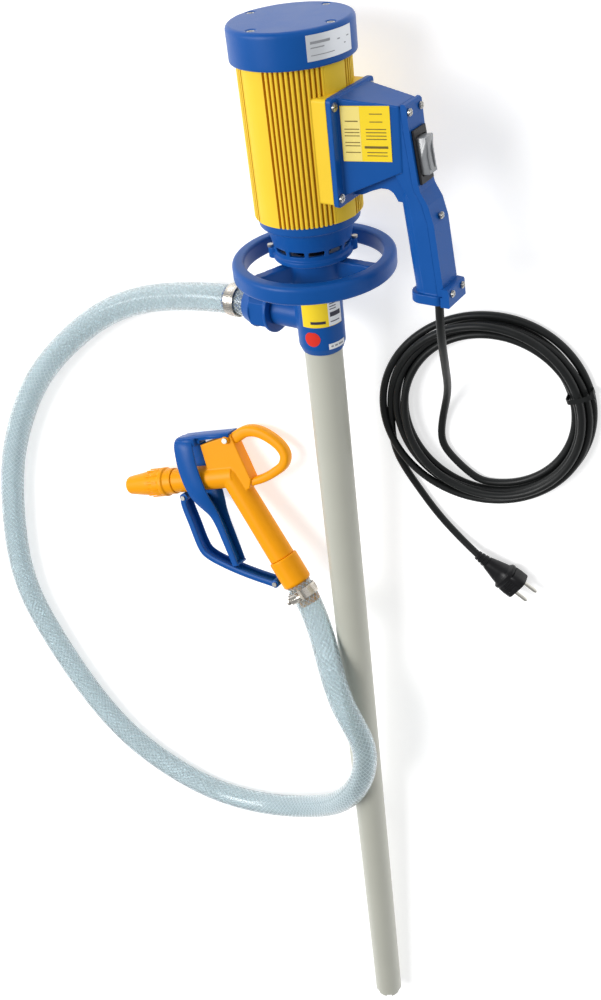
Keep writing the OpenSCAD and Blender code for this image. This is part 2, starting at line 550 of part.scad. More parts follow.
motor_housing();
motor_cap();
cap_screws();
rating_plate();
end_bell();
bell_screws();
bearings();
upper_bracket();
stator_core();
field_coils();
armature_core();
armature_winding();
commutator();
motor_shaft();
cooling_fan();
brush_holders();
carbon_brushes();
flange_gasket();
handle_body();
grip_cover();
flange_screws();
cover_screws();
warning_label();
switch_bezel();
switch_rocker();
terminal_block();
handwheel();
upper_coupling();
lower_coupling();
pump_head();
shaft_seal();
pump_tube();
inner_tube();
guide_bushes();
tube_spacers();
pump_shaft();
impeller();
inlet_foot();
round_sticker();
union_nut();
outlet_tail();
hose();
cord_lead();
cord_coil();
cord_tail();
plug_body();
plug_pins();
nozzle_body();
nozzle_hook();
spout_tip();
nozzle_connector();
lever();
trigger_guard();
valve_stem();
nozzle_tail();
hose_clamps();
head_labels();
coil_tie();
pivot_pin();
guard_screws();
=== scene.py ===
import json
import math

import bmesh
import bpy
from mathutils import Matrix, Vector


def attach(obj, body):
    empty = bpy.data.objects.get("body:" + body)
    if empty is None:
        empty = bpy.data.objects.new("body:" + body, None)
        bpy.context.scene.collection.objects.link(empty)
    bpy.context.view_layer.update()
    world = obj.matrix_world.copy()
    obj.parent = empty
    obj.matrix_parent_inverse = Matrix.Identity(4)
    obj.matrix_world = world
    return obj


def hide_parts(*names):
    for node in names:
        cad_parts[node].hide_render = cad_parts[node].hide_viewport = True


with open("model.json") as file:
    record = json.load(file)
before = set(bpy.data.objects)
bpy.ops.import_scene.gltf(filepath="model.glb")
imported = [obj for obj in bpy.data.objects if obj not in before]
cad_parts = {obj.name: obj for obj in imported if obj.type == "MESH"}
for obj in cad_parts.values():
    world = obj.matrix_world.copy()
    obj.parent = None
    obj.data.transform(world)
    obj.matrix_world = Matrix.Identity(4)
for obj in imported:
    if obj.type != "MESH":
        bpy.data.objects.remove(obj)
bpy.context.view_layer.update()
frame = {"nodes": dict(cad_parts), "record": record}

# Drum barrel pump with its hose, hand nozzle and mains lead, dressed round the CAD nodes.
MM = 0.001
NODES = frame["nodes"]
scene = bpy.context.scene

# ---------------------------------------------------------------- layout, in mm
# the layout's point that is the part's origin
OX, OY = 763.9, 80.0
# radii that the pump lies on, and where they are along its axis
TUBE_R, WHEEL_R = 20.5, 84.0
FOOT, RIM = -1302.0, -16.0
# rounding of the handwheel's rim
RIM_ROUND = 3.0
REACH = RIM - FOOT
TILT = math.atan((WHEEL_R - RIM_ROUND - TUBE_R) / REACH) + math.asin(RIM_ROUND / REACH)
CO, SO = math.cos(TILT), math.sin(TILT)
LIFT = TUBE_R * CO - FOOT * SO
WHEEL_X = 1302.5
# the outlet's place down the axis, the lead's distance from it, and how far both turn from sideways
OUTLET_DOWN, LEAD_OUT = 71.0, 141.0
SIDE_COS, SIDE_SIN = 0.978, 0.208
# nozzle: its middle, the spout's direction, the roll that lifts its tail, and its handle's direction
NOZ_X, NOZ_Y, NOZ_Z = 980.0, 158.0, 26.0
SPOUT, NOZ_ROLL = math.radians(103.7), math.radians(13)
HANDLE_TURN, HANDLE_WAY = 111, Vector((-0.3584, 0.9336, 0))


def at(x, y, z):
    """A point of the layout, in mm, as metres in the part's frame."""
    return Vector(((x - OX) * MM, (y - OY) * MM, z * MM))


def turn(axis, degrees):
    return Matrix.Rotation(math.radians(degrees), 4, axis)


def shift(x, y, z):
    return Matrix.Translation((x, y, z))


SCALE = Matrix.Scale(MM, 4)
PUMP = Matrix.Translation(at(WHEEL_X, 0, LIFT)) @ Matrix.Rotation(math.pi / 2 - TILT, 4, "Y") @ SCALE
HAND = PUMP @ turn("Z", 258)
OUTLET = PUMP @ turn("Z", 78) @ shift(0, 0, -OUTLET_DOWN) @ turn("Y", 90)
NOZZLE = (Matrix.Translation(at(NOZ_X, NOZ_Y, NOZ_Z)) @ Matrix.Rotation(SPOUT, 4, "Z")
          @ Matrix.Rotation(NOZ_ROLL, 4, "X") @ SCALE)
HANDLE = NOZZLE @ turn("Z", HANDLE_TURN) @ turn("Y", 90)
PLUG = Matrix.Translation(at(900, -155, 13.5)) @ turn("Z", 233) @ SCALE

# ---------------------------------------------------------------- camera
EYE = (1716.3, -421.2, 1113.9)
FORWARD = Vector((-0.5372, 0.3463, -0.7691)).normalized()
RIGHT = Vector((-0.0851, -0.9294, -0.3590))
RIGHT = (RIGHT - FORWARD * RIGHT.dot(FORWARD)).normalized()
cam_data = bpy.data.cameras.new("camera")
cam_data.lens = 41.25
cam_data.sensor_width = 36
cam_data.clip_start, cam_data.clip_end = 0.05, 50
cam = bpy.data.objects.new("camera", cam_data)
scene.collection.objects.link(cam)
cam.matrix_world = (Matrix.Translation(at(*EYE))
                    @ Matrix((RIGHT, RIGHT.cross(FORWARD), -FORWARD)).transposed().to_4x4())
scene.camera = cam


# ---------------------------------------------------------------- materials
def material(name, color, rough, metal=0.0, grain=0.0, size=0.8, vary=0.06, coat=0.0, spec=0.5,
             blotch=30.0, transmission=0.0, ior=1.45, stretch=(1, 1, 1)):
    """Procedural surface: fine grain in the bump, uneven gloss, soft colour drift. Sizes in mm."""
    made = bpy.data.materials.new(name)
    made.use_nodes = True
    nodes, link = made.node_tree.nodes, made.node_tree.links.new
    surface = nodes["Principled BSDF"].inputs
    for key, value in (("Metallic", metal), ("Coat Weight", coat), ("Coat Roughness", 0.15),
                       ("Specular IOR Level", spec), ("Transmission Weight", transmission), ("IOR", ior)):
        surface[key].default_value = value

    def noise(period, detail, where):
        node = nodes.new("ShaderNodeTexNoise")
        node.inputs["Scale"].default_value = 1000 / period
        node.inputs["Detail"].default_value = detail
        link(where, node.inputs["Vector"])
        return node.outputs["Fac"]

    place = nodes.new("ShaderNodeTexCoord").outputs["Object"]
    drift = noise(blotch, 4, place)
    mix = nodes.new("ShaderNodeMix")
    mix.data_type = "RGBA"
    mix.inputs[6].default_value = [v * (1 - vary) for v in color] + [1]
    mix.inputs[7].default_value = [min(1, v * (1 + vary) + vary * 0.01) for v in color] + [1]
    link(drift, mix.inputs[0])
    link(mix.outputs[2], surface["Base Color"])
    gloss = nodes.new("ShaderNodeMapRange")
    gloss.inputs["To Min"].default_value = max(0.02, rough - 0.06)
    gloss.inputs["To Max"].default_value = rough + 0.07
    link(drift, gloss.inputs["Value"])
    link(gloss.outputs[0], surface["Roughness"])
    if grain:
        along = nodes.new("ShaderNodeMapping")
        along.inputs["Scale"].default_value = stretch
        link(place, along.inputs[0])
        bump = nodes.new("ShaderNodeBump")
        bump.inputs["Strength"].default_value = grain
        bump.inputs["Distance"].default_value = size * MM * 0.25
        link(noise(size, 3, along.outputs[0]), bump.inputs["Height"])
        link(bump.outputs[0], surface["Normal"])
    return made


M = {
    # plastics
    "yellow_plastic": material("yellow", (0.87, 0.585, 0.035), 0.42, spec=0.22, grain=0.25, size=0.9,
                               vary=0.03),
    # painted shade: a darker orange for the groove floors between the motor's ribs, tinted like light bounced
    # between them
    "groove_shade": material("groove_shade", (0.66, 0.33, 0.012), 0.5, spec=0.15, grain=0.25, size=0.9, vary=0.04),
    "blue_plastic": material("blue", (0.004, 0.082, 0.335), 0.36, spec=0.24, grain=0.35, size=0.9,
                             vary=0.08),
    "orange_plastic": material("orange", (0.92, 0.355, 0.002), 0.38, spec=0.2, grain=0.25, size=0.9,
                               vary=0.04),
    "black_plastic": material("black", (0.010, 0.010, 0.012), 0.40, spec=0.35, grain=0.3, size=0.7),
    "rocker_grey": material("rocker", (0.24, 0.25, 0.26), 0.22, grain=0.08, size=0.8, coat=0.4),
    "tube_grey": material("tube", (0.50, 0.50, 0.43), 0.36, grain=0.18, size=1.2, vary=0.035, blotch=60,
                          stretch=(0.08, 1, 1)),
    "white_plastic": material("nylon", (0.78, 0.76, 0.68), 0.45, grain=0.2, size=0.8),
    # metals
    "zinc_steel": material("zinc", (0.50, 0.49, 0.46), 0.34, metal=1, grain=0.2, size=0.5, vary=0.1,
                           blotch=6),
    "stainless": material("stainless", (0.66, 0.62, 0.56), 0.24, metal=1, grain=0.25, size=0.4, vary=0.12,
                          blotch=9, stretch=(1, 1, 6)),
    "coupling_steel": material("coupling", (0.30, 0.30, 0.32), 0.38, metal=1, grain=0.2, size=0.4),
    "lamination": material("lamination", (0.24, 0.24, 0.26), 0.45, metal=1, grain=0.4, size=0.5),
    "copper": material("copper", (0.65, 0.28, 0.12), 0.35, metal=1, grain=0.4, size=0.6),
    "nickel": material("nickel", (0.70, 0.68, 0.62), 0.2, metal=1, grain=0.15, size=0.4),
    # rubber, cord and hose
    "seal_rubber": material("seal", (0.02, 0.02, 0.02), 0.6, grain=0.3, size=0.6),
    "cord_black": material("sheath", (0.009, 0.010, 0.010), 0.40, spec=0.3, grain=0.3, size=1.0, vary=0.25,
                           blotch=18),
    "plug_black": material("plug", (0.006, 0.006, 0.007), 0.36, spec=0.3, grain=0.3, size=0.8, vary=0.2,
                           blotch=12),
    "hose_clear": material("hose", (0.80, 0.90, 0.93), 0.12, transmission=0.82, ior=1.42, vary=0.03,
                           blotch=45),
    "braid": material("braid", (0.86, 0.90, 0.93), 0.5, grain=0.3, size=0.3, vary=0.05),
    # plates, labels and the marks on them
    "plate_silver": material("plate", (0.72, 0.74, 0.77), 0.3, metal=0.35, grain=0.1, size=0.5, vary=0.04),
    "label_yellow": material("label", (0.94, 0.68, 0.02), 0.25, grain=0.06, size=0.9, vary=0.03, coat=0.3),
    "label_red": material("red", (0.72, 0.03, 0.015), 0.3, grain=0.08, size=0.8, vary=0.1),
    "print_dark": material("print_dark", (0.03, 0.03, 0.05), 0.4, vary=0.1),
    "print_grey": material("print_grey", (0.30, 0.31, 0.33), 0.4, vary=0.1),
    "print_white": material("print_white", (0.84, 0.85, 0.86), 0.3, vary=0.03),
    "print_pale": material("print_pale", (0.90, 0.74, 0.22), 0.25, vary=0.03, coat=0.3),
    "print_brown": material("print_brown", (0.16, 0.11, 0.02), 0.35, vary=0.1),
}

slot_of = {s["node"]: s["material_slot"] for s in frame["record"]["subparts"]}
for name, node in NODES.items():
    node.data.materials.clear()
    node.data.materials.append(M[slot_of[name]])


# ---------------------------------------------------------------- pieces
def piece(name, part, slot, look=None, body="root", m=None, smooth=40, hides=(), outward=False):
    """Object from a part's (vertices, faces); m takes the part's own frame to the frame of the whole."""
    verts, faces = part
    mesh = bpy.data.meshes.new(name)
    mesh.from_pydata([tuple(m @ Vector(v)) if m else tuple(v) for v in verts], [], faces)
    mesh.materials.append(M[look or slot])
    mesh.validate()
    if outward:
        bm = bmesh.new()
        bm.from_mesh(mesh)
        bmesh.ops.recalc_face_normals(bm, faces=bm.faces)
        bm.to_mesh(mesh)
        bm.free()
    ob = bpy.data.objects.new(name, mesh)
    scene.collection.objects.link(ob)
    mesh.shade_smooth()
    mesh.set_sharp_from_angle(angle=math.radians(smooth))
    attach(ob, body)
    if hides:
        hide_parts(*hides)
    return ob


def moved(part, m):
    return [m @ Vector(v) for v in part[0]], part[1]


def merge(parts):
    verts, faces = [], []
    for v, fs in parts:
        base = len(verts)
        verts += [Vector(q) for q in v]
        faces += [[base + i for i in face] for face in fs]
    return verts, faces


# ---------------------------------------------------------------- curves
def spline(points, step):
    """Centripetal Catmull-Rom curve through the points, as points about step apart."""
    p = [points[0] * 2 - points[1]] + list(points) + [points[-1] * 2 - points[-2]]
    out = []
    for i in range(1, len(p) - 2):
        a, b, c, d = p[i - 1:i + 3]
        t1 = (b - a).length ** 0.5
        t2 = t1 + (c - b).length ** 0.5
        t3 = t2 + (d - c).length ** 0.5
        n = max(1, round((c - b).length / step))
        for k in range(n):
            t = t1 + (t2 - t1) * k / n
            a1 = a * ((t1 - t) / t1) + b * (t / t1)
            a2 = b * ((t2 - t) / (t2 - t1)) + c * ((t - t1) / (t2 - t1))
            a3 = c * ((t3 - t) / (t3 - t2)) + d * ((t - t2) / (t3 - t2))
            b1 = a1 * ((t2 - t) / t2) + a2 * (t / t2)
            b2 = a2 * ((t3 - t) / (t3 - t1)) + a3 * ((t - t1) / (t3 - t1))
            out.append(b1 * ((t2 - t) / (t2 - t1)) + b2 * ((t - t1) / (t2 - t1)))
    return out + [points[-1].copy()]


def relax(path, times, pin):
    """Evens out bends: each inner point moves towards its neighbours' middle. The ends stay."""
    for _ in range(times):
        path = [q if i < pin or i >= len(path) - pin else (path[i - 1] + q * 2 + path[i + 1]) / 4
                for i, q in enumerate(path)]
    return path


def direction(path, i):
    return (path[min(i + 1, len(path) - 1)] - path[max(i - 1, 0)]).to_3d().normalized()


def frames(path):
    """Direction and two normals at each point, carried along without twist."""
    out = []
    side = direction(path, 0).orthogonal().normalized()
    for i in range(len(path)):
        t = direction(path, i)
        side = (side - t * side.dot(t)).normalized()
        out.append((t, side, t.cross(side)))
    return out


def power(v, p):
    """v to the power p with its sign kept, for superellipses."""
    return math.copysign(abs(v) ** p, v)


def circle(n):
    """Cosine and sine of n even steps round."""
    return [(math.cos(math.tau * k / n), math.sin(math.tau * k / n)) for k in range(n)]


# ---------------------------------------------------------------- solids
def sections(rings, closed=False):
    """Solid through rings of equal point counts, capped at its ends or closed to a loop."""
    n, last = len(rings[0]), len(rings) - 1
    faces = []
    for i in range(last + closed):
        near, far = i * n, (i + 1) % len(rings) * n
        faces += [[near + k, near + (k + 1) % n, far + (k + 1) % n, far + k] for k in range(n)]
    if not closed:
        faces.append(list(range(n))[::-1])
        faces.append([last * n + k for k in range(n)])
    return [q for ring in rings for q in ring], faces


def tube(path, radius, sides, inner=None):
    """Capped tube, or a thick wall where inner is given."""
    def skin(r):
        return [[q + (a * c + b * s) * r for c, s in circle(sides)] for q, (t, a, b) in zip(path, frames(path))]

    if inner is None:
        return sections(skin(radius))
    # each ring runs out along the outside and back along the bore
    outside, bore = skin(radius), skin(inner)
    return sections([[ring[k] for ring in outside] + [ring[k] for ring in bore[::-1]]
                     for k in reversed(range(sides))], closed=True)


def block(x0, x1, y0, y1, z0, z1, b=0.3):
    """Box with chamfered edges."""
    rings = []
    for z, g in ((z0, b), (z0 + b, 0), (z1 - b, 0), (z1, b)):
        rings.append([(x, y, z) for x, y in (
            (x0 + b, y0 + g), (x1 - b, y0 + g), (x1 - g, y0 + b), (x1 - g, y1 - b),
            (x1 - b, y1 - g), (x0 + b, y1 - g), (x0 + g, y1 - b), (x0 + g, y0 + b))])
    return sections(rings)


def prism(points, half, b):
    """Solid from -half to half in y with a convex (x, z) outline, its rims chamfered."""
    cx = sum(x for x, z in points) / len(points)
    cz = sum(z for x, z in points) / len(points)
    rings = []
    for y, g in ((-half, b), (b - half, 0), (half - b, 0), (half, b)):
        rings.append([(x - math.copysign(g, x - cx), y, z - math.copysign(g, z - cz)) for x, z in points])
    return sections(rings)


def lathe(profile, sides=64):
    """Solid of revolution about z through (radius, z) points that run round a closed outline."""
    return sections([[(r * c, r * s, z) for r, z in profile[::-1]] for c, s in circle(sides)], closed=True)


def sweep(points, outline, shrink=lambda g: 1):
    """Solid along a path in the nozzle's plane; outline is (towards the inside, across)."""
    path = spline([Vector((x, y, 0)) for x, y in points], 2.0)
    rings = []
    for i, q in enumerate(path):
        t = direction(path, i)
        n = Vector((-t.y, t.x, 0)) * shrink(i / (len(path) - 1))
        rings.append([q + n * a + Vector((0, 0, b)) for a, b in outline])
    return sections(rings)


def ribbon(stations, thick, across):
    """Band through (x, y, z, width) stations, its width lying along across, with chamfered edges."""
    path = spline([Vector(v) for v in stations], 3.0)
    rings = []
    for i, q in enumerate(path):
        t = direction(path, i)
        w = Vector(across)
        w = (w - t * w.dot(t)).normalized()
        n = t.cross(w)
        hw, ht, e = q[3] / 2, thick / 2, 0.7
        rings.append([q.to_3d() + w * a + n * b for a, b in (
            (e - hw, -ht), (hw - e, -ht), (hw, e - ht), (hw, ht - e), (hw - e, ht), (e - hw, ht),
            (-hw, ht - e), (-hw, e - ht))])
    return sections(rings)


# ---------------------------------------------------------------- hose
def out_at(d):
    """Point d along the outlet."""
    return at(WHEEL_X - OUTLET_DOWN * CO + d * SO * SIDE_SIN, d * SIDE_COS,
              LIFT - OUTLET_DOWN * SO - d * SIDE_SIN * CO)


def noz_at(d):
    """Point d along the nozzle's handle."""
    return NOZZLE @ (HANDLE_WAY * d)


HOSE_R, BORE_R = 16.0 * MM, 12.9 * MM
HOSE_WAY = [
    (1227, 160, 45.5), (1219, 205, 33), (1205, 258, 22.5), (1180, 312, 17.5), (1140, 367, 16.4),
    (1086, 423, 16.4), (1020, 466, 16.4), (953, 497, 16.4), (887, 515, 16.4), (820, 527, 16.4),
    (760, 532, 16.4), (703, 526, 16.4), (640, 506, 16.4), (569, 477, 16.4), (505, 443, 16.4),
    (450, 400, 16.4), (412, 350, 16.4), (386, 300, 16.4), (373, 252, 16.5), (372, 208, 17.5),
    (381, 163, 21.5), (400, 120, 29.5), (426, 84, 42.5), (456, 53, 58.5), (490, 27, 74),
    (526, 4, 85), (562, -11, 90.5), (592, -18, 92.5), (620, -20, 94), (647, -15, 97),
    (671, -5, 100.5), (694, 3.5, 102), (715, 10.2, 101.5), (734, 15.4, 98.8), (752, 19.9, 94.3),
    (769, 24.9, 89.6), (785, 30.4, 83.1), (800, 36.4, 76.6), (815, 42.9, 70)]
hose_path = relax(spline([out_at(d) for d in (89.6, 105, 125)] + [at(*p) for p in HOSE_WAY]
                         + [noz_at(d) for d in (188, 173, 159.2)], 6 * MM), 40, pin=4)
hose = piece("hose_wall", tube(hose_path, HOSE_R, 32, inner=BORE_R), "hose_clear", hides=["hose"])

# braid: crossing threads inside the wall, the two ways at slightly different radii
STRANDS, PITCH, PER_TURN = 14, 0.115, 22
THREAD_R, LAY_R, LAY_GAP, END_GAP = 0.42 * MM, 14.6, 0.3, 0.0006
hose_frames = frames(hose_path)
run = [0.0]
for a, b in zip(hose_path, hose_path[1:]):
    run.append(run[-1] + (b - a).length)


def on_hose(s, w, radius):
    """Point at length s and angle w round the hose."""
    i = min(max(int(s / run[-1] * (len(run) - 1)) - 3, 0), len(run) - 2)
    while i > 0 and run[i] > s:
        i -= 1
    while i < len(run) - 2 and run[i + 1] < s:
        i += 1
    g = min(1, max(0, (s - run[i]) / (run[i + 1] - run[i])))
    q = hose_path[i].lerp(hose_path[i + 1], g)
    a = hose_frames[i][1].lerp(hose_frames[i + 1][1], g).normalized()
    b = hose_frames[i][2].lerp(hose_frames[i + 1][2], g).normalized()
    return q + (a * math.cos(w) + b * math.sin(w)) * radius


def thread(start, way):
    turns = run[-1] / PITCH
    steps = int(turns * PER_TURN)
    return tube([on_hose(END_GAP + (run[-1] - 2 * END_GAP) * i / steps,
                         start + way * math.tau * turns * i / steps, (LAY_R + LAY_GAP * way) * MM)
                 for i in range(steps + 1)], THREAD_R, 3)


threads = [thread(math.tau * k / STRANDS, way) for way in (1, -1) for k in range(STRANDS)]
braid = piece("hose_braid", merge(threads), "hose_clear", look="braid", smooth=80)


# ---------------------------------------------------------------- mains lead
def lead_at(d):
    """Point d down the grip, where the lead leaves it."""
    return at(WHEEL_X - d * CO - LEAD_OUT * SO * SIDE_SIN, -LEAD_OUT * SIDE_COS,
              LIFT - d * SO + LEAD_OUT * SIDE_SIN * CO)


def coil_radius(turn_no):
    """Out over the bottom row, back over the middle one, and out again on top."""
    if turn_no < 2.6:
        return 92 + 9.4 * turn_no
    if turn_no < 4.8:
        return 116.4 - 9.6 * (turn_no - 2.6)
    return 95.3 + 18.5 * (turn_no - 4.8)


def coil_height(turn_no):
    """Eases from row to row and back to the ground."""
    steps = ((0, 4.7), (2.45, 4.7), (2.75, 13.4), (4.65, 13.4), (4.95, 22.0), (5.55, 22.0), (5.95, 6.0))
    for (a, za), (b, zb) in zip(steps, steps[1:]):
        if a <= turn_no <= b:
            g = (turn_no - a) / (b - a)
            return za + (zb - za) * g * g * (3 - 2 * g)


def coil_point(turn_no):
    """Spiral with a slight waver, and a bulge where the second row climbs over the first."""
    w = math.radians(COIL_START + 360 * turn_no)
    radius = coil_radius(turn_no) + 1.6 * math.sin(w + 0.6) + 0.9 * math.sin(2 * w + turn_no * 1.3)
    if 2.3 < turn_no < 3.1:
        radius += 7 * math.exp(-((turn_no - 2.78) / 0.16) ** 2)
    return COIL + Vector((radius * math.cos(w), radius * math.sin(w), coil_height(turn_no))) * MM


LEAD_R = 4.3 * MM
COIL = at(1095, -164, 0)
COIL_START, COIL_TURNS, PER_COIL = 162.0, 5.8, 36
LEAD_WAY = [
    (1241, -137.6, 109), (1227, -137, 104), (1213, -135.8, 96.5), (1200, -134.2, 87),
    (1186, -132, 75.5), (1170, -129, 61.5), (1153, -126, 46.5), (1136, -122.5, 32.5),
    (1119, -118.5, 20.5), (1101, -113.5, 11.5), (1082, -109, 6.2), (1063, -106.5, 4.7), (1046, -108.5, 4.7)]
TAIL_WAY = [
    (1036, -50, 4.8), (1008, -62, 4.7), (984, -77, 4.7), (960, -93, 4.8), (940, -109, 5.5),
    (922, -127, 7.5), (908, -144, 11), (899.6, -155.5, 13.4)]
coil_steps = int(COIL_TURNS * PER_COIL)
lead_path = relax(spline([lead_at(d) for d in (10, 29.5, 45)] + [at(*p) for p in LEAD_WAY]
                         + [coil_point(COIL_TURNS * i / coil_steps) for i in range(1, coil_steps + 1)]
                         + [at(*p) for p in TAIL_WAY], 3.4 * MM), 14, pin=3)
lead = piece("mains_lead", tube(lead_path, LEAD_R, 16), "cord_black",
             hides=["cord_lead", "cord_coil", "cord_tail"])

# plug: superellipse sections as (x, half width, half height, power), ringed sleeve first
PLUG_SHAPE = [
    (-6, 4.9, 4.9, 2), (-5.6, 5.6, 5.6, 2), (-3, 5.9, 5.9, 2), (-2.6, 5.2, 5.2, 2), (-1.2, 5.2, 5.2, 2),
    (-0.8, 6.3, 6.2, 2), (1.8, 6.5, 6.4, 2), (2.2, 5.7, 5.7, 2), (3.6, 5.8, 5.8, 2), (4, 7, 6.8, 2),
    (7, 7.3, 7, 2), (7.4, 6.5, 6.3, 2), (8.8, 6.7, 6.4, 2), (9.2, 7.7, 7.3, 2), (13, 8.6, 8, 2.2),
    (20, 10.4, 9.2, 2.4), (27, 12.2, 10.2, 2.6), (32.5, 13.4, 10.8, 2.8), (34, 15.4, 12.0, 2.8),
    (35.2, 17.2, 13.0, 2.6), (37.4, 17.7, 13.1, 2.6), (39.2, 17.0, 12.8, 2.6), (40.2, 15.2, 12.2, 3),
    (40.8, 15.8, 11.7, 4), (48, 16.1, 11.7, 4.5), (56.6, 15.9, 11.6, 4.5), (57.7, 15.3, 11.1, 4.5),
    (58, 14.4, 10.4, 4.5)]
plug_rings = [[(x, w * power(c, 2 / p), h * power(s, 2 / p)) for c, s in circle(40)]
              for x, w, h, p in PLUG_SHAPE]
plug = piece("plug_shell", sections(plug_rings), "plug_black", m=PLUG, hides=["plug_body"], smooth=35)
grip_bars = [block(x, x + 1.5, -7.5, 7.5, z, z + 1) for x in (42.5, 45.5, 48.5, 51.5) for z in (11.2, -12.2)]
plug_grip = piece("plug_grip", merge(grip_bars), "plug_black", m=PLUG)

# tie round the coil: band, its buckle and its loose end
TIE_AT, TIE_MID, TIE_THICK, TIE_HALF = 104.5, 13.5, 1.1, 2.6
TIE = Matrix.Translation(COIL) @ turn("Z", -70) @ SCALE @ shift(TIE_AT, 0, 0)
tie_rings = []
for c, s in circle(48):
    x, z = 14.8 * power(c, 0.55), 13.1 * power(s, 0.6)
    g = 1 - TIE_THICK / math.hypot(x, z)
    tie_rings.append([(x, -TIE_HALF, z + TIE_MID), (x, TIE_HALF, z + TIE_MID),
                      (x * g, TIE_HALF, z * g + TIE_MID), (x * g, -TIE_HALF, z * g + TIE_MID)])
tie_parts = [sections(tie_rings, closed=True), block(12.2, 16.6, -3.6, 3.6, 17, 22.5, 0.5),
             block(14.2, 15.2, -10, -3.4, 18.6, 21, 0.2)]
tie = piece("coil_band", merge(tie_parts), "cord_black", m=TIE, hides=["coil_tie"])

# ---------------------------------------------------------------- nozzle: hook
HOOK = [(-17, -47.5), (-35, -54), (-50, -52), (-66, -42), (-77.5, -29), (-80.5, -18), (-75, -7), (-61, 1),
        (-45, 7), (-28, 10.5)]
oval = [(6.6 * power(c, 0.6), 7.6 * power(s, 0.6)) for c, s in circle(24)]
piece("hook_bow", sweep(HOOK, oval, shrink=lambda g: 1.15 - 0.38 * g), "orange_plastic", m=NOZZLE,
      hides=["nozzle_hook"], outward=True)

# ---------------------------------------------------------------- nozzle: lever guard
GUARD = [(69, 17.5), (74, 21), (76, 29), (72.2, 58), (67.6, 88), (64.2, 97), (56, 105), (40, 115), (20, 125.5),
         (0, 134.5), (-20, 142.5), (-31, 147)]
GUARD_PINS = ((74, 21), (-29, 145))
channel = [(-3.6, -9.3), (-3.0, -10), (3.6, -10), (4.2, -9.4), (4.2, -8.1), (3.8, -7.8), (-0.9, -7.4)]
channel += [(a, -b) for a, b in channel[::-1]]
lug = lathe([(0.01, -9.9), (4.6, -9.9), (5.2, -9.3), (5.2, 9.3), (4.6, 9.9), (0.01, 9.9)], 28)
piece("guard_bow", merge([sweep(GUARD, channel)] + [moved(lug, shift(x, y, 0)) for x, y in GUARD_PINS]),
      "blue_plastic", m=NOZZLE, hides=["trigger_guard"], outward=True, smooth=50)

# ---------------------------------------------------------------- nozzle: lever
PIVOT = (-9, -48, 0)
# near side, from the lever's tip up to the top of the hoop
NEAR = [(21, 117, 10, 8), (24, 98, 10, 8.8), (27, 80, 10, 9.6), (30.4, 60, 10.2, 10.6), (33.4, 46, 11.2, 13.5),
        (37.6, 34, 14.2, 19), (42.6, 21, 17.5, 24), (46, 8, 19.2, 26.5), (48.6, -8, 19.8, 27.5)]
OVER = [(49.8, -24, 19.8, 27.5), (49.6, -38, 19.3, 27), (49.4, -47, 18.2, 26.6), (49.2, -52.6, 15.6, 26.3),
        (49, -55.6, 11, 26), (49, -56, 0, 26)]
# the far side leans in so that it clears the ground
UNDER = [(49, -55.2, -9, 26), (49.2, -52, -11.6, 26.3), (49.4, -46.5, -13.8, 26.6), (49.6, -38, -16.2, 27),
         (49.8, -24, -18.4, 27.5)]
FAR = [(x, y, -z, w) for x, y, z, w in NEAR[::-1]]
WEB = [(24.4, 116.8, 0, 19.5), (31.2, 80, 0, 19.5), (35.2, 60, 0, 20), (39.8, 46, 0, 21.5), (46, 36, 0, 26.5),
       (53, 25, 0, 31)]
STRAP = [(-15, -55.2, 0, 23), (0, -55.3, 0, 23.4), (20, -55.6, 0, 25.5), (40, -56, 1.2, 27), (58, -56, 1.2, 27)]
lever_parts = [
    ribbon(NEAR + OVER + UNDER + FAR, 2.7, (1, 0, 0)),
    ribbon(WEB, 2.4, (0, 0, 1)),
    ribbon(STRAP, 2.8, (0, 0, 1)),
    # tip, thick corner under the hoop, cheeks beside the pivot
    block(16.2, 25.6, 114.6, 117.2, -10.6, 10.6, 0.4),
    block(33, 60, -55.2, -45.5, -11.8, 17.6, 0.8),
    block(-14.6, 38, -56, -51.5, 10.3, 12.3, 0.5),
    block(-14.6, 38, -56, -48.5, -12.3, -10.3, 0.5),
    block(28, 39, -55.5, -47.5, 10.3, 12.3, 0.5)]
piece("lever_bow", merge(lever_parts), "blue_plastic", body="lever", m=NOZZLE, hides=["lever"], outward=True,
      smooth=50)

# ---------------------------------------------------------------- nozzle: ribs on the spout
rib = block(-1.1, 1.1, 16.9, 18.5, 103.5, 122, 0.4)
ribs = [moved(rib, turn("Y", 90) @ turn("Z", 30 * k + 15)) for k in range(12)]
piece("spout_ribs", merge(ribs), "orange_plastic", m=NOZZLE, outward=True)

# ---------------------------------------------------------------- rocker
ROCK = HAND @ shift(128.6, 0, 113) @ turn("Y", -8)
rocker_parts = [
    prism([(-3, -16.4), (8.4, -16.9), (9.6, -16.4), (9.0, -8), (8.8, 0), (9.6, 8), (11, 16.4), (9.8, 16.9),
           (-3, 16.4)], 7.4, 0.6),
    block(8.2, 10.6, -5.4, -2.6, -13, 13, 0.4),
    block(8.2, 10.2, 3.2, 5.6, -13, 13, 0.4)]
piece("rocker_cap", merge(rocker_parts), "rocker_grey", body="rocker", m=ROCK, hides=["switch_rocker"],
      outward=True)

# ---------------------------------------------------------------- grip: rounded corner under the arch
BALL_R, BALL_HALF, BALL_RINGS = 13.9, 17, 16
ball = []
for i in range(1, BALL_RINGS):
    w = math.pi * i / BALL_RINGS
    ball.append([(BALL_R * math.sin(w) * c, BALL_R * math.sin(w) * s, BALL_HALF * math.cos(w))
                 for c, s in circle(40)])
piece("grip_shoulder", sections(ball), "blue_plastic", m=HAND @ shift(121.6, 0, 73), outward=True, smooth=60)

